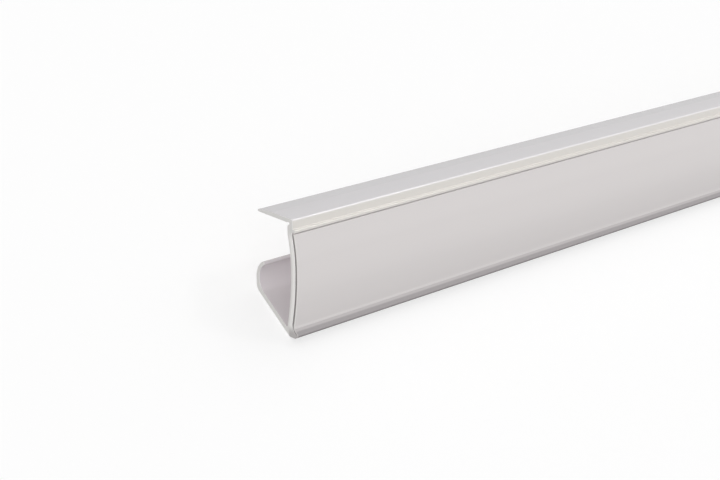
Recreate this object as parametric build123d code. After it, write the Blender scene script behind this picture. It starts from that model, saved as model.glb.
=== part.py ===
from build123d import *
import math
import os

# A shelf-edge ticket profile, one extruded piece, in millimetres.
# The section is drawn as it sits on a shelf: Y runs back from the fullest point of the wall's
# front face, Z runs up from the underside of the toe. It is then laid down on the flat underside
# of its sprung leg, which is how it comes to rest on a floor, with X along the stock.

# Stock
LENGTH = 1000.0

# Ticket front: a bulged wall with a thin flap before it, joined only at the toe
TICKET_HEIGHT = 39.0
TICKET_PLAY = 1.0
TICKET_FLOOR = 2.3
WALL = 2.5
SLOT = 0.9
FLAP = 0.65
MOUTH_GAP = 0.45
BULGE_TOP = 1.95
BULGE_FOOT = 2.6
FULLEST_RATIO = 0.607

# Toe: crease, flare and heel
CREASE_HEIGHT = 3.9
CREASE_ROUND = 1.8
FLARE_ANGLE = 46.0
FLARE_RUN = 3.6
SLOT_RUN = 3.2
SLOT_END = 0.4
TOE_FLAT_START = 0.6
TOE_ROUND = 0.6
HEEL_BACK = 3.85
HEEL_ROUND = 1.6
ROOT_ROUND = 0.5

# Nose over the flap's edge, with a square lip, and the neck and nub behind it
NOSE_HEIGHT = 5.05
LIP_HEIGHT = 1.3
LIP_PROUD = 0.5
LIP_STEP = 1.3
LIP_ROUND = 0.35
RIDGE_ROUND = 0.9
NECK = 1.9
NUB = 1.2
NUB_ROUND = 0.8
NOTCH_HEIGHT = 0.8
NOTCH_RELIEF = 0.2
NOTCH_CLEAR = 0.3
NOTCH_ROUND = 0.3

# Flange that lies on the shelf, rising a little, with its outer part bevelled thin
FLANGE = 1.7
FLANGE_DEPTH = 20.45
FLANGE_RISE = 1.8
FLANGE_FULL = 12.0
FLANGE_TIP = 0.85

# Sprung leg: a straight run, a knee, and a curl that presses the shelf from below
LEG = 1.85
LEG_ANGLE = 37.0
LEG_REACH = 23.35
KNEE_INSIDE = 6.5
KNEE_OUTSIDE = 4.0
BELLY_RISE = 5.0
CURL_RADIUS = 7.75
CURL_ANGLE = 66.0
CURL_TIP = 1.45

# Small rounds on the thin edges
EDGE_ROUND = 0.2

lip_z = TICKET_FLOOR + TICKET_HEIGHT + TICKET_PLAY
mouth_z = lip_z - MOUTH_GAP
top_z = lip_z + NOSE_HEIGHT
fullest_z = CREASE_HEIGHT + FULLEST_RATIO * (lip_z - CREASE_HEIGHT)
upper_radius = ((lip_z - fullest_z) ** 2 + BULGE_TOP**2) / (2 * BULGE_TOP)
lower_radius = ((fullest_z - CREASE_HEIGHT) ** 2 + BULGE_FOOT**2) / (2 * BULGE_FOOT)
skin = SLOT + FLAP
flare = math.radians(FLARE_ANGLE)
flare_down = Vector(-math.sin(flare), -math.cos(flare))
flare_out = Vector(-math.cos(flare), math.sin(flare))
leg_slope = math.radians(LEG_ANGLE)
leg_along = Vector(math.cos(leg_slope), math.sin(leg_slope))
leg_inward = Vector(-math.sin(leg_slope), math.cos(leg_slope))
flange_slope = math.radians(FLANGE_RISE)
flange_along = Vector(math.cos(flange_slope), math.sin(flange_slope))
flange_up = Vector(-math.sin(flange_slope), math.cos(flange_slope))


def front_y(z, ahead=0.0):
    """Depth at height z of the bulged curve that lies ahead of the wall's front face."""
    radius = upper_radius if z > fullest_z else lower_radius
    return radius - math.sqrt((radius + ahead) ** 2 - (z - fullest_z) ** 2)


def bulge(z_low, z_high, ahead=0.0):
    """One bulged curve from z_low up to z_high: two arcs, tangent at the fullest point."""
    low_mid, high_mid = (z_low + fullest_z) / 2, (z_high + fullest_z) / 2
    fullest = (-ahead, fullest_z)
    lower = ThreePointArc(
        (front_y(z_low, ahead), z_low), (front_y(low_mid, ahead), low_mid), fullest
    )
    upper = ThreePointArc(
        fullest, (front_y(high_mid, ahead), high_mid), (front_y(z_high, ahead), z_high)
    )
    return lower + upper


def rounded(sketch, point, radius):
    """The sketch with the corner nearest to a point rounded."""
    corner = sketch.vertices().sort_by_distance(Vertex(*point))[0]
    return fillet(corner, radius)


def strip(ahead, low_ahead, behind, low_behind, z_high):
    """Region between two bulged curves, each from its own lowest point up to z_high."""
    front = bulge(low_ahead, z_high, ahead)
    back = bulge(low_behind, z_high, behind)
    head = Line((front_y(z_high, ahead), z_high), (front_y(z_high, behind), z_high))
    foot = Line((front_y(low_ahead, ahead), low_ahead), (front_y(low_behind, behind), low_behind))
    return make_face(Curve() + [front, back, head, foot])


# Corners of the toe, before rounding
crease = Vector(front_y(CREASE_HEIGHT, skin), CREASE_HEIGHT)
toe_tip = crease + flare_down * FLARE_RUN
toe_flat = Vector(TOE_FLAT_START, 0)
heel = Vector(HEEL_BACK, 0)
wall_foot = CREASE_HEIGHT - LEG

# Corners of the nose, the neck and the flange
lip_foot = Vector(front_y(lip_z, skin) - LIP_PROUD, lip_z)
lip_head = lip_foot + Vector(0, LIP_HEIGHT)
nose_foot = lip_head + Vector(LIP_STEP, 0)
ridge = Vector(nose_foot.X, top_z)
flange_edge = ridge + flange_along * FLANGE_DEPTH - flange_up * FLANGE
flange_crest = flange_edge + flange_up * FLANGE_TIP
neck_back = nose_foot.X + NECK
nub_back = neck_back + NUB
root_run = nub_back + NOTCH_CLEAR - flange_edge.X
flange_root = flange_edge + flange_along * (root_run / flange_along.X)
nub_top = Vector(nub_back, flange_root.Y - NOTCH_HEIGHT)
neck_foot = Vector(neck_back, nub_top.Y)
neck_top = Vector(neck_back, flange_root.Y + NOTCH_RELIEF)
notch_rim = Vector(flange_root.X, neck_top.Y)

# Corners of the sprung leg
knee = heel + leg_along * ((LEG_REACH - HEEL_BACK) / leg_along.X)
knee_inner = knee + Vector(-LEG, LEG * (1 - math.sin(leg_slope)) / math.cos(leg_slope))
belly = knee + Vector(0, BELLY_RISE)
curl_centre = belly - Vector(CURL_RADIUS, 0)
curl = math.radians(CURL_ANGLE)
curl_out = Vector(math.cos(curl), math.sin(curl))
tip_outer = curl_centre + curl_out * CURL_RADIUS
tip_inner = tip_outer - curl_out * CURL_TIP


def front():
    """Wall and flap as one bulged region, before the slot parts them, flush with the nub."""
    beyond = nub_back + 2 * WALL
    behind_nub = Polyline(
        (nub_back, fullest_z), (beyond, fullest_z), (beyond, top_z), (nub_back, top_z), close=True
    )
    return strip(skin, CREASE_HEIGHT, -WALL, wall_foot, lip_z) - make_face(behind_nub)


def toe():
    """Flare under the crease, the flat underside, and the heel that the leg leaves from."""
    wall_back = Vector(front_y(wall_foot, -WALL), wall_foot)
    return make_face(Polyline(crease, toe_tip, toe_flat, heel, wall_back, close=True))


def leg():
    """Sprung leg: straight from the heel to the knee, then up and curled over the gap."""
    start = heel + leg_inward * LEG
    belly_inner = belly - Vector(LEG, 0)
    outside = Polyline(start, heel, knee, belly)
    outer_curl = TangentArc(belly, tip_outer, tangent=(0, 1))
    end = Line(tip_outer, tip_inner)
    inner_curl = TangentArc(belly_inner, tip_inner, tangent=(0, 1))
    inside = Polyline(belly_inner, knee_inner, start)
    return make_face(Curve() + [outside, outer_curl, end, inner_curl, inside])


def nose():
    """Nose over the slot's mouth with its lip, the neck and nub behind, and the flange."""
    flange_shoulder = ridge + flange_along * FLANGE_FULL
    wall_top = Vector(nub_top.X, lip_z)
    corners = [
        lip_foot,
        lip_head,
        nose_foot,
        ridge,
        flange_shoulder,
        flange_crest,
        flange_edge,
        flange_root,
        notch_rim,
        neck_top,
        neck_foot,
        nub_top,
        wall_top,
    ]
    return make_face(Polyline(corners, close=True))


def slot():
    """Ticket slot: between wall and flap, narrowing into the flared toe, open under the lip."""
    behind = Vector(front_y(CREASE_HEIGHT, 0), CREASE_HEIGHT)
    before = Vector(front_y(CREASE_HEIGHT, SLOT), CREASE_HEIGHT)
    end = (behind + before) / 2 + flare_down * SLOT_RUN
    end_behind = end - flare_out * SLOT_END / 2
    end_before = end + flare_out * SLOT_END / 2
    gap = strip(SLOT, CREASE_HEIGHT, 0, CREASE_HEIGHT, lip_z)
    gap += make_face(Polyline(before, behind, end_behind, end_before, close=True))
    gap = rounded(gap, behind, CREASE_ROUND + skin)
    gap = rounded(gap, before, CREASE_ROUND + FLAP)
    gap = rounded(gap, end_behind, SLOT_END * 0.45)
    gap = rounded(gap, end_before, SLOT_END * 0.45)
    ahead = lip_foot.X - SLOT
    behind_mouth = front_y(mouth_z)
    mouth = Polyline(
        (ahead, lip_z), (behind_mouth, lip_z), (behind_mouth, mouth_z), (ahead, mouth_z), close=True
    )
    return gap + make_face(mouth)


def profile_section():
    """The whole section, with its corners rounded."""
    whole = front() + toe() + leg() + nose()
    rounds = [
        (crease, CREASE_ROUND),
        (toe_tip, TOE_ROUND),
        (toe_flat, TOE_ROUND),
        (heel, HEEL_ROUND),
        ((front_y(CREASE_HEIGHT, -WALL), CREASE_HEIGHT), ROOT_ROUND),
        (knee, KNEE_OUTSIDE),
        (knee_inner, KNEE_INSIDE),
        (tip_outer, CURL_TIP * 0.45),
        (tip_inner, CURL_TIP * 0.45),
        (nub_top, NUB_ROUND),
        (neck_foot, NOTCH_ROUND),
        (neck_top, NOTCH_ROUND),
        (flange_edge, FLANGE_TIP * 0.35),
        (flange_crest, FLANGE_TIP * 0.35),
        (ridge, RIDGE_ROUND),
        (nose_foot, LIP_ROUND),
        (lip_head, LIP_ROUND),
        (lip_foot, LIP_ROUND),
    ]
    for point, radius in rounds:
        whole = rounded(whole, point, radius)
    whole -= slot()
    for ahead in (SLOT, skin):
        whole = rounded(whole, (front_y(mouth_z, ahead), mouth_z), EDGE_ROUND)
    return whole


section = profile_section()
stock = extrude(Plane.YZ * section, LENGTH)
laid = Rot(X=-LEG_ANGLE) * stock
box = laid.bounding_box()
profile = Pos(-box.center().X, -box.center().Y, -box.min.Z) * laid

os.makedirs("parts", exist_ok=True)
export_step(profile, "parts/ticket_profile.step")
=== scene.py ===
# %% [markdown]
# A shelf-edge ticket profile: one length of extruded stock with one section from end to end.
# A flange lies on the shelf, a nose turns over its front, and a bulged wall hangs down with a
# thin flap before it that holds a price ticket. A flared toe joins flap and wall, and a sprung leg
# curls back up under the shelf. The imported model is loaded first, because its box is the space
# that the finished stock has to fill.

import math

import bpy
from mathutils import Matrix, Vector


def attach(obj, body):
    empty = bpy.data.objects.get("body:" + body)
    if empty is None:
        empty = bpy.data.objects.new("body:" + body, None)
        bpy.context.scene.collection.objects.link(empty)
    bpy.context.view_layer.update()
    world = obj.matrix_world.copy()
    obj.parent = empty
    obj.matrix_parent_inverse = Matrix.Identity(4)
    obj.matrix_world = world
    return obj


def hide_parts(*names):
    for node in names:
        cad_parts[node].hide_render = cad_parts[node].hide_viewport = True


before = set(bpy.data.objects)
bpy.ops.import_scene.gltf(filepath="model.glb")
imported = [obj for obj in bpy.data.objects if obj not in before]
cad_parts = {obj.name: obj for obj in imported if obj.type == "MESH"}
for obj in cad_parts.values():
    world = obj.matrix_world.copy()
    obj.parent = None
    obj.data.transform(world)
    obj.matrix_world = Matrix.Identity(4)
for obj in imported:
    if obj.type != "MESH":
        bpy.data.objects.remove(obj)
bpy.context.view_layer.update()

# %% [markdown]
# The section is easiest to draw as it stands on a shelf edge, in millimetres: y runs back from the
# fullest point of the wall, and z runs up from the underside of the toe. The real stock lies on
# the flat underside of its leg. It could be drawn lying, but then no line of it would be level. So
# it is drawn upright, and turned by the leg's 37 degrees when it is whole. The same matrix turns
# the camera and the lamps, which are placed about the upright section too.

# %% From the upright drawing to the stock as it lies
MM = 0.001
LEG_ANGLE = math.radians(37)
LAID_Y, LAID_Z = -22.67035, 2.31699
LAID = Matrix.Translation((0, LAID_Y * MM, LAID_Z * MM)) @ Matrix.Rotation(-LEG_ANGLE, 4, "X")
print("the drawing's origin as it lies, mm:", [round(v / MM, 2) for v in LAID.translation])

# %% [markdown]
# The ticket front is four bulged lines, one inside the other: the flap's two faces and the wall's
# two faces, with the slot for the ticket in between. Each line is an upper and a lower arc that
# meet at the fullest height. Four drawn curves would do, but one function of the height gives them
# all, and it also tells where other corners meet them.

# %% Sizes of the ticket front, in millimetres
WALL, SLOT, FLAP = 2.5, 0.9, 0.65
SKIN = SLOT + FLAP
CREASE_Z, LIP_Z = 3.9, 42.3
MOUTH_GAP = 0.45
MOUTH_Z = LIP_Z - MOUTH_GAP
BULGE_TOP, BULGE_FOOT = 1.95, 2.6
FULLEST_SHARE = 0.607
FULLEST_Z = CREASE_Z + FULLEST_SHARE * (LIP_Z - CREASE_Z)


def radius_of(rise, bow):
    """Radius of an arc that bows forward by bow over a height of rise."""
    return (rise**2 + bow**2) / (2 * bow)


UPPER_RADIUS = radius_of(LIP_Z - FULLEST_Z, BULGE_TOP)
LOWER_RADIUS = radius_of(FULLEST_Z - CREASE_Z, BULGE_FOOT)
print("bulge radii, mm:", round(UPPER_RADIUS, 1), round(LOWER_RADIUS, 1))


# %% Bulged lines and straight runs
def front_y(z, ahead):
    """Depth at height z of the line that lies ahead of the wall's front face."""
    radius = UPPER_RADIUS if z > FULLEST_Z else LOWER_RADIUS
    return radius - math.sqrt((radius + ahead) ** 2 - (z - FULLEST_Z) ** 2)


def bulge(ahead, low, high, steps=12):
    """Points of that line from low to high, in even steps of height."""
    heights = [low + (high - low) * step / steps for step in range(steps + 1)]
    return [(front_y(z, ahead), z) for z in heights]


def along(start, angle, run):
    """The end of a straight run from start at an angle."""
    return (start[0] + math.cos(angle) * run, start[1] + math.sin(angle) * run)


print("fullest point of the flap, mm:", [round(front_y(FULLEST_Z, SKIN), 2), round(FULLEST_Z, 2)])

# %% [markdown]
# The whole section is one closed line, because the ticket slot is open at its mouth. Its sharp
# corners are worked out first, part by part, and rounded later. At the toe, flap and slot turn
# forward under the crease. The slot narrows there and ends just short of the tip, so that flap and
# wall are one piece beyond it.

# %% Corners of the toe and of the slot's end
FLARE = math.radians(46)
FLARE_RUN, SLOT_RUN, SLOT_END = 3.6, 3.2, 0.4
TOE_FLAT_START, HEEL_BACK = 0.6, 3.85
down_flare = -math.pi / 2 - FLARE
crease = (front_y(CREASE_Z, SKIN), CREASE_Z)
toe_tip = along(crease, down_flare, FLARE_RUN)
toe_flat = (TOE_FLAT_START, 0)
heel = (HEEL_BACK, 0)
slot_before = (front_y(CREASE_Z, SLOT), CREASE_Z)
slot_behind = (front_y(CREASE_Z, 0), CREASE_Z)
slot_middle = ((slot_before[0] + slot_behind[0]) / 2, CREASE_Z)
slot_end = along(slot_middle, down_flare, SLOT_RUN)
slot_end_before = along(slot_end, math.pi - FLARE, SLOT_END / 2)
slot_end_behind = along(slot_end, -FLARE, SLOT_END / 2)
print("toe's tip, mm:", [round(v, 2) for v in toe_tip])

# %% [markdown]
# The nose closes the slot from above with a square lip that stands a little proud of the flap.
# Behind it are a neck, a nub and the notch between nub and flange, which keeps the corner clear so
# that a square shelf board can seat. The flange rises very slightly, and its outer part thins to
# half. The corners could be typed in one by one, but each is worked out from the one before, from
# the lip up, over the flange and back under it, so that all follow when a size changes.

# %% Corners of the nose and the flange
TOP_Z = 47.35
LIP_PROUD, LIP_HEIGHT, LIP_STEP = 0.5, 1.3, 1.3
RISE = math.radians(1.8)
FLANGE, FLANGE_DEPTH, FLANGE_FULL, FLANGE_TIP = 1.7, 20.45, 12.0, 0.85
lip_foot = (front_y(LIP_Z, SKIN) - LIP_PROUD, LIP_Z)
lip_head = (lip_foot[0], LIP_Z + LIP_HEIGHT)
nose_foot = (lip_foot[0] + LIP_STEP, lip_head[1])
ridge = (nose_foot[0], TOP_Z)
shoulder = along(ridge, RISE, FLANGE_FULL)
flange_edge = along(along(ridge, RISE, FLANGE_DEPTH), RISE - math.pi / 2, FLANGE)
flange_crest = along(flange_edge, RISE + math.pi / 2, FLANGE_TIP)
print("ridge, mm:", [round(v, 2) for v in ridge], "flange edge:", [round(v, 2) for v in flange_edge])

# %% Corners of the neck, the nub and the notch
NECK, NUB = 1.9, 1.2
NOTCH_CLEAR, NOTCH_RELIEF, NOTCH_HEIGHT = 0.3, 0.2, 0.8
neck_back = nose_foot[0] + NECK
nub_back = neck_back + NUB
root_run = nub_back + NOTCH_CLEAR - flange_edge[0]
flange_root = along(flange_edge, RISE, root_run / math.cos(RISE))
neck_top = (neck_back, flange_root[1] + NOTCH_RELIEF)
notch_rim = (flange_root[0], neck_top[1])
nub_top = (nub_back, flange_root[1] - NOTCH_HEIGHT)
neck_foot = (neck_back, nub_top[1])
nub_foot_z = FULLEST_Z + math.sqrt((UPPER_RADIUS - WALL) ** 2 - (UPPER_RADIUS - nub_back) ** 2)
print("nub runs from height", round(nub_foot_z, 2), "to", round(nub_top[1], 2), "mm")

# %% [markdown]
# The sprung leg leaves the heel in a straight run, turns up at the knee, and curls forward at its
# end, where it presses the shelf from below. Its inside is the same line moved in by the leg's
# thickness, and the curl thins a little towards its tip. The curl could be spun about its centre,
# but as points it stays part of the one closed line. The root is where the wall's back meets the
# leg's inside.

# %% Corners of the leg
LEG, LEG_REACH, BELLY_RISE = 1.85, 23.35, 5.0
CURL = math.radians(66)
CURL_RADIUS, CURL_TIP = 7.75, 1.45
knee = along(heel, LEG_ANGLE, (LEG_REACH - heel[0]) / math.cos(LEG_ANGLE))
knee_inner = (knee[0] - LEG, knee[1] + LEG * (1 - math.sin(LEG_ANGLE)) / math.cos(LEG_ANGLE))
belly = (knee[0], knee[1] + BELLY_RISE)
belly_inner = (belly[0] - LEG, belly[1])
curl_centre = (belly[0] - CURL_RADIUS, belly[1])
leg_root = (5.28, 3.40)


def curl_points(inner, steps=12):
    """The curled end's outside, or its inside, which closes in towards the tip."""
    points = []
    for step in range(1, steps + 1):
        part = step / steps
        depth = (LEG + (CURL_TIP - LEG) * part) if inner else 0
        points.append(along(curl_centre, CURL * part, CURL_RADIUS - depth))
    return points


print("leg's knee, mm:", [round(v, 2) for v in knee], "belly:", [round(v, 2) for v in belly])

# %% [markdown]
# The corners are now listed in the order that a finger would follow them: up the flap, down into
# the slot, up the wall, round the nose and flange, down the wall's back, and round the leg. Each
# has the radius that the die gives it. Points with no radius carry a bulge or the curl round, or
# are corners that stay sharp, in the slot's mouth and the notch.

# %% Radii of the corners, in millimetres
CREASE_ROUND, TOE_ROUND, HEEL_ROUND = 1.8, 0.6, 1.6
FLAP_EDGE_ROUND, SLOT_END_ROUND = 0.2, 0.18
LIP_ROUND, LIP_HEAD_ROUND, RIDGE_ROUND = 0.35, 0.5, 0.9
SHOULDER_ROUND, FLANGE_EDGE_ROUND = 3.0, 0.3
NOTCH_ROUND, NUB_ROUND, ROOT_ROUND = 0.3, 0.8, 0.5
KNEE_INSIDE, KNEE_OUTSIDE, TIP_ROUND = 6.5, 4.0, 0.6


def plain(points):
    """Outline points that get no round."""
    return [(point, 0) for point in points]


# %% The outline's front: flap, slot and the wall's front face
outline = [(crease, CREASE_ROUND)]
outline += plain(bulge(SKIN, CREASE_Z, MOUTH_Z)[1:-1])
outline += [((front_y(MOUTH_Z, SKIN), MOUTH_Z), FLAP_EDGE_ROUND)]
outline += [((front_y(MOUTH_Z, SLOT), MOUTH_Z), FLAP_EDGE_ROUND)]
outline += plain(bulge(SLOT, CREASE_Z, MOUTH_Z)[-2:0:-1])
outline += [(slot_before, CREASE_ROUND + FLAP), (slot_end_before, SLOT_END_ROUND)]
outline += [(slot_end_behind, SLOT_END_ROUND), (slot_behind, CREASE_ROUND + SKIN)]
outline += plain(bulge(0, CREASE_Z, LIP_Z)[1:])
print("corners from the crease to the slot's mouth:", len(outline))

# %% The outline's top, back and leg
outline += [(lip_foot, LIP_ROUND), (lip_head, LIP_HEAD_ROUND), (nose_foot, LIP_ROUND)]
outline += [(ridge, RIDGE_ROUND), (shoulder, SHOULDER_ROUND)]
outline += [(flange_crest, FLANGE_EDGE_ROUND), (flange_edge, FLANGE_EDGE_ROUND)]
outline += plain([flange_root, notch_rim])
outline += [(neck_top, NOTCH_ROUND), (neck_foot, NOTCH_ROUND), (nub_top, NUB_ROUND)]
outline += plain(bulge(-WALL, leg_root[1], nub_foot_z)[:0:-1])
outline += [(leg_root, ROOT_ROUND), (knee_inner, KNEE_INSIDE)]
outline += plain([belly_inner] + curl_points(inner=True)[:-1])
outline += [(curl_points(inner=True)[-1], TIP_ROUND), (curl_points(inner=False)[-1], TIP_ROUND)]
outline += plain(curl_points(inner=False)[-2::-1] + [belly])
outline += [(knee, KNEE_OUTSIDE), (heel, HEEL_ROUND), (toe_flat, TOE_ROUND), (toe_tip, TOE_ROUND)]
print("outline corners:", len(outline), "of them rounded:", sum(1 for _, r in outline if r))

# %% [markdown]
# The section starts as a filled circle with one point for each corner, and each point is put in
# its place at the near end of the stock. A curve made into a mesh would do as well, but a filled
# circle is a face at once, ready to be rounded and extruded.

# %% Draw the section as one face
HALF_LENGTH = 500.0
bpy.ops.object.select_all(action="DESELECT")
bpy.ops.mesh.primitive_circle_add(vertices=len(outline), fill_type="NGON")
stock = bpy.context.object
stock.name = "ticket_profile_stock"
for vertex, (point, _) in zip(stock.data.vertices, outline):
    vertex.co = (-HALF_LENGTH, point[0], point[1])
print("section face, square mm:", round(stock.data.polygons[0].area, 1))

# %% [markdown]
# A die is hardly ever sharp in a corner, so nearly every corner of the section gets a round. Rounds
# could be drawn as arcs in the outline, but the bevel operator makes them from the sharp corners.
# It takes the distance from the corner at which the round begins. That is the radius times the
# tangent of half the turn, so each corner's turn is measured and the corners are rounded in turn.


# %% Find a corner and measure its turn
def turn_at(index):
    """How far the outline turns at a corner, in radians."""
    before = Vector(outline[index - 1][0])
    here = Vector(outline[index][0])
    after = Vector(outline[(index + 1) % len(outline)][0])
    return (here - before).angle(after - here)


def select_nearest(mesh, point):
    """Select the one point of the section that lies nearest to a corner."""
    near = min(mesh.vertices, key=lambda v: (v.co.y - point[0]) ** 2 + (v.co.z - point[1]) ** 2)
    near.select = True


print("turn at the crease, degrees:", round(math.degrees(turn_at(0)), 1))

# %% Round the corners
ROUND_STEPS = 8
for index, (point, radius) in enumerate(outline):
    if radius:
        bpy.ops.object.mode_set(mode="EDIT")
        bpy.ops.mesh.select_mode(type="VERT")
        bpy.ops.mesh.select_all(action="DESELECT")
        bpy.ops.object.mode_set(mode="OBJECT")
        select_nearest(stock.data, point)
        bpy.ops.object.mode_set(mode="EDIT")
        reach = radius * math.tan(turn_at(index) / 2)
        bpy.ops.mesh.bevel(offset=reach, segments=ROUND_STEPS, affect="VERTICES", clamp_overlap=False)
        bpy.ops.object.mode_set(mode="OBJECT")
print("points after rounding:", len(stock.data.vertices))

# %% [markdown]
# The die pushes the stock out in one length, and one extrusion of a metre would give its shape. But
# faces a metre long and a tenth of a millimetre wide come out hatched where light grazes them, so
# the length is made in forty steps. Each step extrudes the section's face a little further. All
# faces are then made to point outwards.

# %% Extrude the section
LENGTH_STEPS = 40
bpy.ops.object.mode_set(mode="EDIT")
bpy.ops.mesh.select_all(action="SELECT")
step = {"value": (2 * HALF_LENGTH / LENGTH_STEPS, 0, 0)}
for _ in range(LENGTH_STEPS):
    bpy.ops.mesh.extrude_region_move(TRANSFORM_OT_translate=step)
bpy.ops.mesh.select_all(action="SELECT")
bpy.ops.mesh.normals_make_consistent(inside=False)
bpy.ops.mesh.select_mode(type="FACE")
bpy.ops.mesh.select_all(action="DESELECT")
bpy.ops.object.mode_set(mode="OBJECT")
print("length, mm:", round(stock.dimensions.x, 2), "faces:", len(stock.data.polygons))

# %% [markdown]
# The saw leaves a sharp edge round both ends, which is taken off with a file. A bevel on the two
# end loops does the same, and its narrow slope is what catches the light round the cut. The end
# faces are found by their normal, which points along the stock, and their rims become the loops.

# %% Take the edge off both ends
SQUARE_TO_LENGTH, DEBURR = 0.9, 0.15
for face in stock.data.polygons:
    face.select = abs(face.normal.x) > SQUARE_TO_LENGTH
bpy.ops.object.mode_set(mode="EDIT")
bpy.ops.mesh.region_to_loop()
bpy.ops.mesh.bevel(offset=DEBURR, segments=1, affect="EDGES", clamp_overlap=False)
bpy.ops.object.mode_set(mode="OBJECT")
print("faces with the slope round both ends:", len(stock.data.polygons))

# %% [markdown]
# The stock is now laid down on its leg and brought from millimetres to metres. Turn and scale are
# applied to the mesh, so that the object itself stays unturned at the origin, where the finish
# reads its places. Edges that turn by less than 25 degrees are shaded smooth, so that rounds look
# round and corners stay crisp.

# %% Lay the stock down, shade it, attach it to the root and hide the imported part
SMOOTH_BELOW = math.radians(25)
stock.matrix_world = LAID @ Matrix.Scale(MM, 4)
bpy.ops.object.transform_apply(location=True, rotation=True, scale=True)
bpy.ops.object.shade_smooth_by_angle(angle=SMOOTH_BELOW)
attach(stock, "root")
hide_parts("ticket_profile")
print("stock's box as it lies, mm:", [round(v / MM, 2) for v in stock.dimensions])

# %% [markdown]
# The photo looks along the stock from its near end, a little from above and through a long lens.
# Such a camera can be moved by hand until it fits, but here its place is worked out. Heading and
# pitch say which way it looks. The lowest corner of the near end, which shows clearly, is then held
# at its own pixel and at its distance, and that leaves one place for the camera to stand. All of
# this is in metres about the upright section, and the camera is then laid down with the stock.

# %% What the camera sees
PITCH = math.radians(18.13)
HEADING = math.radians(47.18)
STEP_BACK = 0.568
SEEN_TOE = Vector((-0.5, 0.00062, 0.0004))
FRAME_WIDTH = 720
FRAME_MIDDLE = Vector((359.5, 239.5))
TOE_PIXEL = Vector((294.5, 337.5))
FOCAL_PIXELS = 1489.0
to_toe = (TOE_PIXEL - FRAME_MIDDLE) / FOCAL_PIXELS
print("the toe lies off the line of sight by", [round(v, 3) for v in to_toe])

# %% Where the camera stands
level = Vector((math.cos(HEADING), math.sin(HEADING), 0))
right = Vector((math.sin(HEADING), -math.cos(HEADING), 0))
ahead = level * math.cos(PITCH) - Vector((0, 0, math.sin(PITCH)))
above = level * math.sin(PITCH) + Vector((0, 0, math.cos(PITCH)))
stand = SEEN_TOE - (right * to_toe.x - above * to_toe.y + ahead) * STEP_BACK
upright_camera = Matrix.Translation(stand) @ Matrix((right, above, -ahead)).transposed().to_4x4()
print("camera stands upright at", [round(v, 3) for v in stand])

# %% Make the camera and lay it down
SENSOR_MM, NEAREST_SEEN = 36.0, 0.01
camera_data = bpy.data.cameras.new("camera")
camera_data.sensor_width = SENSOR_MM
camera_data.lens = FOCAL_PIXELS * SENSOR_MM / FRAME_WIDTH
camera_data.clip_start = NEAREST_SEEN
camera = bpy.data.objects.new("camera", camera_data)
bpy.context.scene.collection.objects.link(camera)
camera.matrix_world = LAID @ upright_camera
bpy.context.scene.camera = camera
print("camera stands at", [round(v, 3) for v in camera.matrix_world.translation])
print("its lens, mm:", round(camera_data.lens, 2))

# %% [markdown]
# Floor, sky and stock all get their looks from shader nodes, and most of these nodes do one small
# sum each. By hand, a node is added from the menu and joined with a link. A few helpers do the
# same: they make a node, set or link its inputs and hand back its output, so that a finish reads
# like a list of steps.


# %% Helpers for sums and smooth changes
def feed(tree, socket, value):
    """Set a node's input to a number, or link another node's output to it."""
    if isinstance(value, (int, float)):
        socket.default_value = value
    else:
        tree.links.new(value, socket)


def maths(tree, operation, first, second=0.0):
    """One sum of two values."""
    node = tree.nodes.new("ShaderNodeMath")
    node.operation = operation
    feed(tree, node.inputs[0], first)
    feed(tree, node.inputs[1], second)
    return node.outputs[0]


def ease(tree, value, low, high, at_low=0.0, at_high=1.0):
    """A smooth change from at_low to at_high while a value goes from low to high."""
    node = tree.nodes.new("ShaderNodeMapRange")
    node.interpolation_type = "SMOOTHSTEP"
    names = ("From Min", "From Max", "To Min", "To Max")
    for name, number in zip(names, (low, high, at_low, at_high)):
        node.inputs[name].default_value = number
    tree.links.new(value, node.inputs["Value"])
    return node.outputs[0]


# %% [markdown]
# The floor is plain and almost white. As paint alone it would be only as white as the lamps make
# it, and as a white glow alone it would take no shadow. So rays from the camera see it mostly as
# paint and partly as a glow. The stock is lit from below by a darker paint, with no glow in it.

# %% The floor
FLOOR_SIZE = 12
bpy.ops.object.select_all(action="DESELECT")
bpy.ops.mesh.primitive_plane_add(size=FLOOR_SIZE, location=(0, 0, 0))
floor = bpy.context.object
floor.name = "floor"
print("floor is", FLOOR_SIZE, "metres wide")

# %% The floor's paint and glow
PAINT_LIT, PAINT_SEEN, GLOW_SHARE = 0.7, 0.985, 0.4
PAINT_ROUGHNESS, PAINT_SHINE = 0.9, 0.1
floor_paint = bpy.data.materials.new("floor_paint")
floor_paint.use_nodes = True
tree = floor_paint.node_tree
paint = tree.nodes["Principled BSDF"]
paint.inputs["Roughness"].default_value = PAINT_ROUGHNESS
paint.inputs["Specular IOR Level"].default_value = PAINT_SHINE
glow = tree.nodes.new("ShaderNodeEmission")
glow.inputs["Strength"].default_value = 1.0
seen = tree.nodes.new("ShaderNodeLightPath").outputs["Is Camera Ray"]
both = tree.nodes.new("ShaderNodeMixShader")
tree.links.new(ease(tree, seen, 0, 1, PAINT_LIT, PAINT_SEEN), paint.inputs["Base Color"])
tree.links.new(maths(tree, "MULTIPLY", seen, GLOW_SHARE), both.inputs["Fac"])
tree.links.new(paint.outputs["BSDF"], both.inputs[1])
tree.links.new(glow.outputs["Emission"], both.inputs[2])
tree.links.new(both.outputs[0], tree.nodes["Material Output"].inputs["Surface"])
floor.data.materials.append(floor_paint)
print("floor glows by", GLOW_SHARE, "where the camera sees it")

# %% [markdown]
# The studio is white all round. A sky that bright would flood the stock with light and leave no
# shape on it. So the sky lights the stock dimly, and only the camera and the stock's reflections
# see it white.

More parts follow.
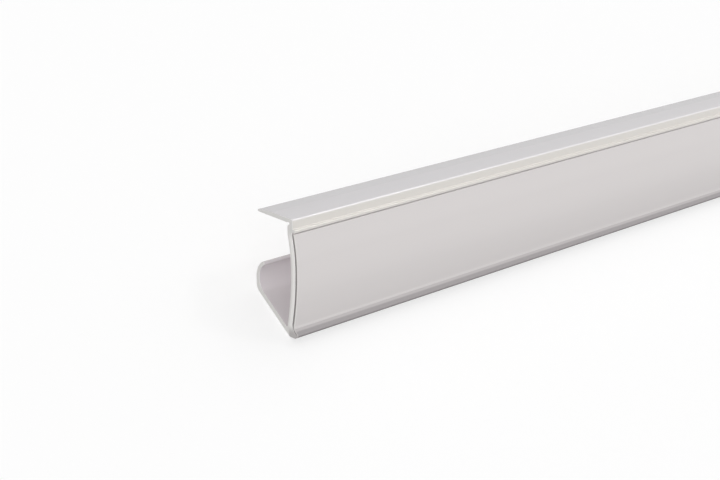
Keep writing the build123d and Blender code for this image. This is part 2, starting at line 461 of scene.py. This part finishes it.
# %% The sky
SKY_LIGHT, SKY_SEEN = 0.38, 0.99
world = bpy.data.worlds.new("studio")
bpy.context.scene.world = world
world.use_nodes = True
tree = world.node_tree
rays = tree.nodes.new("ShaderNodeLightPath")
looked_at = maths(tree, "MAXIMUM", rays.outputs["Is Camera Ray"], rays.outputs["Is Glossy Ray"])
background = tree.nodes["Background"]
background.inputs["Color"].default_value = (1, 1, 1, 1)
tree.links.new(ease(tree, looked_at, 0, 1, SKY_LIGHT, SKY_SEEN), background.inputs["Strength"])
print("sky lights at", SKY_LIGHT, "and is seen at", SKY_SEEN)

# %% [markdown]
# Most of the light is a broad fill from beside the camera, which throws no shadow of its own. A
# weak lamp from above lights the flange, and two more shine from the far end, at the picture's
# upper right. The wide one brightens what faces that way, and the narrow one draws the bright line
# along the rounded edges. Area lamps would fall off along a metre of stock, so all four are suns,
# with their directions given about the upright section.


# %% The lamps
def sun(name, toward, energy, spread, shadow=True):
    """A distant lamp that shines from a direction given in the upright pose."""
    data = bpy.data.lights.new(name, "SUN")
    data.energy = energy
    data.angle = math.radians(spread)
    data.use_shadow = shadow
    lamp = bpy.data.objects.new(name, data)
    bpy.context.scene.collection.objects.link(lamp)
    turned = LAID.to_3x3() @ Vector(toward)
    lamp.matrix_world = turned.to_track_quat("Z", "Y").to_matrix().to_4x4()
    print(name, "energy", energy, "spread over", spread, "degrees")


sun("fill_lamp", toward=(-0.50, -0.77, 0.42), energy=1.87, spread=60, shadow=False)
sun("back_lamp", toward=(0.40, 0.10, 0.85), energy=0.25, spread=30)
sun("side_lamp", toward=(0.75, -0.15, 0.65), energy=0.26, spread=50)
sun("edge_lamp", toward=(0.646, -0.311, 0.697), energy=0.14, spread=8)

# %% [markdown]
# The finish changes with the place on the section: the nose is creamier and the flange's top
# cooler, both painted light, the toe is a darker strip, and the slot and the leg's inside are
# painted darker, as shade. Painted maps would do, but the section is known exactly, so nodes can
# find each place from numbers. What more than one finish needs is put in a node group, built once
# and placed in each material.


# %% Helpers for node groups
def new_group(name, outputs, **inputs):
    """An empty node group with float sockets, and its inner input and output nodes."""
    tree = bpy.data.node_groups.new(name, "ShaderNodeTree")
    for socket, value in inputs.items():
        made = tree.interface.new_socket(socket, in_out="INPUT", socket_type="NodeSocketFloat")
        made.default_value = value
    for socket in outputs:
        tree.interface.new_socket(socket, in_out="OUTPUT", socket_type="NodeSocketFloat")
    return tree, tree.nodes.new("NodeGroupInput"), tree.nodes.new("NodeGroupOutput")


def use_group(tree, group, **values):
    """A node group placed in a tree, with its inputs set."""
    node = tree.nodes.new("ShaderNodeGroup")
    node.node_tree = group
    for name, value in values.items():
        node.inputs[name].default_value = value
    return node


# %% [markdown]
# The first group tells where a point is on the upright section: its depth and height in
# millimetres, how far it lies ahead of the wall's bulged front, and how far its surface faces
# back. The stock lies turned, so the group first turns the point and the surface's normal back up.

# %% A group that gives the place on the upright section
section_place, _, place_out = new_group("section_place", ["Depth", "Height", "Ahead", "Facing"])


def stood_up(source, centre):
    """The parts of a vector that is turned back upright about a centre."""
    lying = section_place.nodes.new("ShaderNodeTexCoord").outputs[source]
    upright = section_place.nodes.new("ShaderNodeVectorRotate")
    upright.rotation_type = "X_AXIS"
    upright.inputs["Angle"].default_value = LEG_ANGLE
    upright.inputs["Center"].default_value = centre
    parts = section_place.nodes.new("ShaderNodeSeparateXYZ")
    section_place.links.new(lying, upright.inputs["Vector"])
    section_place.links.new(upright.outputs[0], parts.inputs[0])
    return parts


split = stood_up("Object", LAID.translation)
place = {"Facing": stood_up("Normal", (0, 0, 0)).outputs["Y"]}
for axis, name, start in (("Y", "Depth", LAID.translation.y), ("Z", "Height", LAID.translation.z)):
    moved = maths(section_place, "SUBTRACT", split.outputs[axis], start)
    place[name] = maths(section_place, "MULTIPLY", moved, 1 / MM)
print("the place is read from", len(section_place.nodes), "nodes so far")

# %% [markdown]
# Flap, slot and wall follow two arcs, so a point's distance ahead of the wall is its distance from
# the arc's centre less the arc's radius. It is worked out for the lower and the upper arc, and the
# point's height picks one of them.


# %% How far a point lies ahead of the wall's bulged front
def ahead_of_wall(radius):
    """Distance ahead of the arc with this radius, whose centre is at the fullest height."""
    tree = section_place
    across = maths(tree, "SUBTRACT", radius, place["Depth"])
    rise = maths(tree, "SUBTRACT", place["Height"], FULLEST_Z)
    rise_squared = maths(tree, "MULTIPLY", rise, rise)
    squares = maths(tree, "ADD", maths(tree, "POWER", across, 2), rise_squared)
    return maths(tree, "SUBTRACT", maths(tree, "SQRT", squares), radius)


above_fullest = maths(section_place, "GREATER_THAN", place["Height"], FULLEST_Z)
below, over = ahead_of_wall(LOWER_RADIUS), ahead_of_wall(UPPER_RADIUS)
difference = maths(section_place, "SUBTRACT", over, below)
gain = maths(section_place, "MULTIPLY", difference, above_fullest)
place["Ahead"] = maths(section_place, "ADD", below, gain)
for name, socket in place.items():
    section_place.links.new(socket, place_out.inputs[name])
print("the group puts out", sorted(place))

# %% [markdown]
# A die leaves very fine lines that run with the stock, and the finish is never quite even. Noise
# that is drawn out along X gives both: it changes hundreds of times faster across the stock than
# along it. One fine layer makes the lines, and one much broader layer a slow drift of tone. The
# sawn ends use the same group with other values, because a saw's lines run across them.

# %% A group for fine lines and slow drift
DIE_ALONG, DIE_ACROSS = 8.0, 5000.0
NOISE_LAYERS = (("Lines", 1.0, 3.0), ("Drift", 0.03, 2.0))
fine_lines, lines_in, lines_out = new_group(
    "fine_lines", ["Lines", "Drift"], AlongX=DIE_ALONG, AlongY=DIE_ACROSS, AlongZ=DIE_ACROSS
)
stretch = fine_lines.nodes.new("ShaderNodeCombineXYZ")
for axis in "XYZ":
    fine_lines.links.new(lines_in.outputs["Along" + axis], stretch.inputs[axis])
scaled = fine_lines.nodes.new("ShaderNodeVectorMath")
scaled.operation = "MULTIPLY"
fine_lines.links.new(fine_lines.nodes.new("ShaderNodeTexCoord").outputs["Object"], scaled.inputs[0])
fine_lines.links.new(stretch.outputs[0], scaled.inputs[1])
for name, scale, detail in NOISE_LAYERS:
    noise = fine_lines.nodes.new("ShaderNodeTexNoise")
    noise.inputs["Scale"].default_value = scale
    noise.inputs["Detail"].default_value = detail
    fine_lines.links.new(scaled.outputs[0], noise.inputs["Vector"])
    fine_lines.links.new(noise.outputs["Fac"], lines_out.inputs[name])
print("die lines change", round(DIE_ACROSS / DIE_ALONG), "times faster across the stock than along it")

# %% [markdown]
# A mask is a value from 0 to 1 that says where on the stock a tone is laid on. It fades in or out
# over a span of depth, height or distance ahead, all in millimetres, or over a span of facing, so
# that no tone ends in a hard step. Masks that overlap close off one part of the section.


# %% Helpers for masks and colours
def fade_in(tree, value, span):
    """A mask that comes in while a value goes through a span."""
    return ease(tree, value, *span)


def fade_out(tree, value, span):
    """A mask that goes out while a value goes through a span."""
    return ease(tree, value, *span, at_low=1.0, at_high=0.0)


def overlap(tree, mask, *others):
    """The mask of where all of the masks hold."""
    for other in others:
        mask = maths(tree, "MULTIPLY", mask, other)
    return mask


def blend(tree, mask, first, second):
    """A colour that goes from the first to the second with a mask."""
    node = tree.nodes.new("ShaderNodeMix")
    node.data_type = "RGBA"
    for socket, colour in (("A", first), ("B", second)):
        if isinstance(colour, tuple):
            node.inputs[socket].default_value = (*colour, 1)
        else:
            tree.links.new(colour, node.inputs[socket])
    tree.links.new(mask, node.inputs["Factor"])
    return node.outputs["Result"]


# %% [markdown]
# The stock is silver grey and satin, a little pink in the photo. It is mixed as a mostly dull
# surface with some metal in it, because bare bright metal would mirror the studio more strongly
# than the photo shows. The slow drift moves its tone very slightly. The nose is painted a little
# creamier than the front, as warm painted light, and the top of the flange a little cooler and
# lighter, as cool painted light.

# %% The satin finish
SILVER, SILVER_DEEP = (0.705, 0.675, 0.670), (0.680, 0.650, 0.647)
# The cream on the nose is painted warm light, and the cool tone on the flange's top is painted cool
# light.
NOSE_PAINTED_WARM_LIGHT, TOP_PAINTED_COOL_LIGHT = (0.715, 0.690, 0.655), (0.752, 0.732, 0.746)
NOSE_SPAN = (LIP_Z, LIP_Z + 0.6)
TOP_SPAN = (TOP_Z - 0.7, TOP_Z - 0.1)
finish = bpy.data.materials.new("satin_profile")
finish.use_nodes = True
tree = finish.node_tree
satin = tree.nodes["Principled BSDF"]
lines = use_group(tree, fine_lines).outputs
where = use_group(tree, section_place).outputs
silver = blend(tree, lines["Drift"], SILVER_DEEP, SILVER)
silver = blend(tree, fade_in(tree, where["Height"], NOSE_SPAN), silver, NOSE_PAINTED_WARM_LIGHT)
silver = blend(tree, fade_in(tree, where["Height"], TOP_SPAN), silver, TOP_PAINTED_COOL_LIGHT)
print("nose tone comes in from", NOSE_SPAN[0], "mm up, the flange's from", round(TOP_SPAN[0], 2))

# %% [markdown]
# Little light reaches the slot, so its faces are painted a dull grey, as painted shade. The leg's
# inside is painted darker than the front, as shade in the channel, and a touch more violet, and
# it is painted paler in the curl, as light that reaches there. Faces could be picked for both,
# but masks need no picking: the slot lies between the middle of the flap and the middle of the
# wall, below the mouth, and the leg's inside lies behind the root, below the flange, and faces
# the wall.

# %% The slot's painted shade
SLOT_PAINTED_SHADE = (0.43, 0.41, 0.41)
FLAP_SPAN, WALL_SPAN = (SLOT + 0.15, SLOT + 0.45), (-1.2, -0.6)
MOUTH_SPAN = (MOUTH_Z - 1.0, MOUTH_Z - 0.1)
behind_flap = fade_out(tree, where["Ahead"], FLAP_SPAN)
before_wall = fade_in(tree, where["Ahead"], WALL_SPAN)
below_mouth = fade_out(tree, where["Height"], MOUTH_SPAN)
silver = blend(tree, overlap(tree, behind_flap, before_wall, below_mouth), silver, SLOT_PAINTED_SHADE)
print("the slot's grey ends at", round(MOUTH_SPAN[1], 2), "mm up")

# %% Painted shade on the leg's inside, and painted light in its curl
INSIDE_PAINTED_SHADE, CURL_PAINTED_LIGHT = (0.662, 0.625, 0.645), (0.712, 0.672, 0.693)
ROOT_SPAN, FLANGE_SPAN, CURL_SPAN = (4.9, 5.5), (28.0, 32.0), (10.0, 15.0)
FACING_SPAN = (-0.45, -0.25)
past_root = fade_in(tree, where["Depth"], ROOT_SPAN)
under_flange = fade_out(tree, where["Height"], FLANGE_SPAN)
faces_wall = fade_out(tree, where["Facing"], FACING_SPAN)
# The darker tone is painted shade in the channel, and the paler tone in the curl is painted light.
inside = blend(tree, fade_in(tree, where["Height"], CURL_SPAN), INSIDE_PAINTED_SHADE, CURL_PAINTED_LIGHT)
silver = blend(tree, overlap(tree, past_root, under_flange, faces_wall), silver, inside)
print("the finish has", len(tree.nodes), "nodes so far")

# %% [markdown]
# The toe is a darker strip that runs along the whole stock. Painted light makes it palest just
# under the crease, where it still faces up to the light, then it is grey, and painted shade makes
# it darkest at the tip's underside, which faces down. It could be a finish of its own on its own
# faces, but its tones don't end where faces do, so masks lay it on.

# %% The toe's darker strip
STRIP_PAINTED_LIGHT, STRIP_GREY = (0.50, 0.475, 0.475), (0.355, 0.335, 0.34)
STRIP_PAINTED_SHADE = (0.23, 0.215, 0.215)
STRIP_TOP_SPAN = (CREASE_Z - 0.15, CREASE_Z + 0.35)
STRIP_BACK_SPAN = (HEEL_BACK + 0.1, HEEL_BACK + 1.1)
STRIP_LIGHT_SPAN, STRIP_SHADE_SPAN = (2.7, 3.2), (1.2, 1.75)
low_down = fade_out(tree, where["Height"], STRIP_TOP_SPAN)
forward = fade_out(tree, where["Depth"], STRIP_BACK_SPAN)
strip = overlap(tree, low_down, forward)
# The pale tone under the crease is painted light, and the deep tone under the tip is painted shade.
strip_grey_light_and_shade = blend(tree, fade_in(tree, where["Height"], STRIP_LIGHT_SPAN), STRIP_GREY, STRIP_PAINTED_LIGHT)
strip_grey_light_and_shade = blend(tree, fade_out(tree, where["Height"], STRIP_SHADE_SPAN), strip_grey_light_and_shade, STRIP_PAINTED_SHADE)
tree.links.new(blend(tree, strip, silver, strip_grey_light_and_shade), satin.inputs["Base Color"])
print("the strip fades out at", round(STRIP_TOP_SPAN[1], 2), "mm up")

# %% [markdown]
# The gloss is satin: smooth enough for a soft line of light along each round, too rough for a clear
# image. The die's lines change it a little and press very shallow grooves into it, which are far
# too fine to model, so they are bump. The toe's strip is rougher and has no metal in it.

# %% Gloss, metal and the die's lines
SATIN_SHINE = 0.25
SATIN_METAL, STRIP_METAL = 0.2, 0.0
SATIN_ROUGHNESS, STRIP_ROUGHNESS, LINE_ROUGHNESS = 0.22, 0.56, 0.02
GROOVE_STRENGTH, GROOVE_DEPTH = 0.006, 0.02
satin.inputs["Specular IOR Level"].default_value = SATIN_SHINE
tree.links.new(ease(tree, strip, 0, 1, SATIN_METAL, STRIP_METAL), satin.inputs["Metallic"])
roughness = ease(tree, strip, 0, 1, SATIN_ROUGHNESS, STRIP_ROUGHNESS)
line_roughness = maths(tree, "MULTIPLY", lines["Lines"], LINE_ROUGHNESS)
tree.links.new(maths(tree, "ADD", roughness, line_roughness), satin.inputs["Roughness"])
grooves = tree.nodes.new("ShaderNodeBump")
grooves.inputs["Strength"].default_value = GROOVE_STRENGTH
grooves.inputs["Distance"].default_value = GROOVE_DEPTH * MM
tree.links.new(lines["Lines"], grooves.inputs["Height"])
tree.links.new(grooves.outputs["Normal"], satin.inputs["Normal"])
print("the finish has", len(tree.nodes), "nodes in all")

# %% [markdown]
# A sawn end is rougher and less pink than the skin, with fine lines where the teeth went through.
# The lines lie level as the stock lies, far closer together in height than they are long. The end
# could be one grey, but the photo shows the wall's cut face paler and the toe's cut face darker,
# so two masks lay those tones over it.

# %% The sawn ends and the saw's lines
CUT_PALE, CUT_GREY, CUT_SHINE = (0.75, 0.735, 0.715), (0.66, 0.65, 0.635), 0.35
SAW_LINES = {"AlongX": 50.0, "AlongY": 700.0, "AlongZ": 9000.0}
LINE_SPAN, CUT_ROUGHNESS = (0.2, 0.8), (0.42, 0.6)
sawn = bpy.data.materials.new("sawn_end")
sawn.use_nodes = True
tree = sawn.node_tree
cut = tree.nodes["Principled BSDF"]
cut.inputs["Specular IOR Level"].default_value = CUT_SHINE
lines = use_group(tree, fine_lines, **SAW_LINES).outputs
cut_colour = blend(tree, lines["Lines"], CUT_GREY, CUT_PALE)
tree.links.new(ease(tree, lines["Lines"], *LINE_SPAN, *CUT_ROUGHNESS), cut.inputs["Roughness"])
print("the sawn end's roughness goes from", CUT_ROUGHNESS[0], "to", CUT_ROUGHNESS[1])

# %% Tones of the wall's and the toe's cut faces
WALL_PALE, CUT_STRIP = (0.86, 0.845, 0.825), (0.48, 0.46, 0.455)
WALL_BACK_SPAN, WALL_FRONT_SPAN, WALL_TOP_SPAN = (-2.2, -1.0), (0.2, 0.7), (39.0, 43.0)
TOE_TOP_SPAN, TOE_BACK_SPAN = (1.6, 5.4), (3.4, 5.4)
where = use_group(tree, section_place).outputs
past_back = fade_in(tree, where["Ahead"], WALL_BACK_SPAN)
before_front = fade_out(tree, where["Ahead"], WALL_FRONT_SPAN)
below_nose = fade_out(tree, where["Height"], WALL_TOP_SPAN)
cut_colour = blend(tree, overlap(tree, past_back, before_front, below_nose), cut_colour, WALL_PALE)
low_down = fade_out(tree, where["Height"], TOE_TOP_SPAN)
forward = fade_out(tree, where["Depth"], TOE_BACK_SPAN)
cut_colour = blend(tree, overlap(tree, low_down, forward), cut_colour, CUT_STRIP)
tree.links.new(cut_colour, cut.inputs["Base Color"])
print("the sawn end has", len(tree.nodes), "nodes")

# %% [markdown]
# Each face now gets one of the two finishes. They could be assigned by hand in edit mode, but a
# face's normal tells what it is: the ends and the slopes round them look along the stock, and
# everything else looks across it.

# %% Give the faces their finish
LOOKS_ALONG = 0.3
stock.data.materials.append(finish)
stock.data.materials.append(sawn)
for face in stock.data.polygons:
    face.material_index = 1 if abs(face.normal.x) > LOOKS_ALONG else 0
print("sawn faces:", sum(face.material_index for face in stock.data.polygons))

# %% [markdown]
# Blender's usual view bends colours the way film does, which would grey the white floor and the
# silver. The Standard view shows a colour as it is written.

# %% Colours stay as they are written
bpy.context.scene.view_settings.view_transform = "Standard"
print("view transform:", bpy.context.scene.view_settings.view_transform)
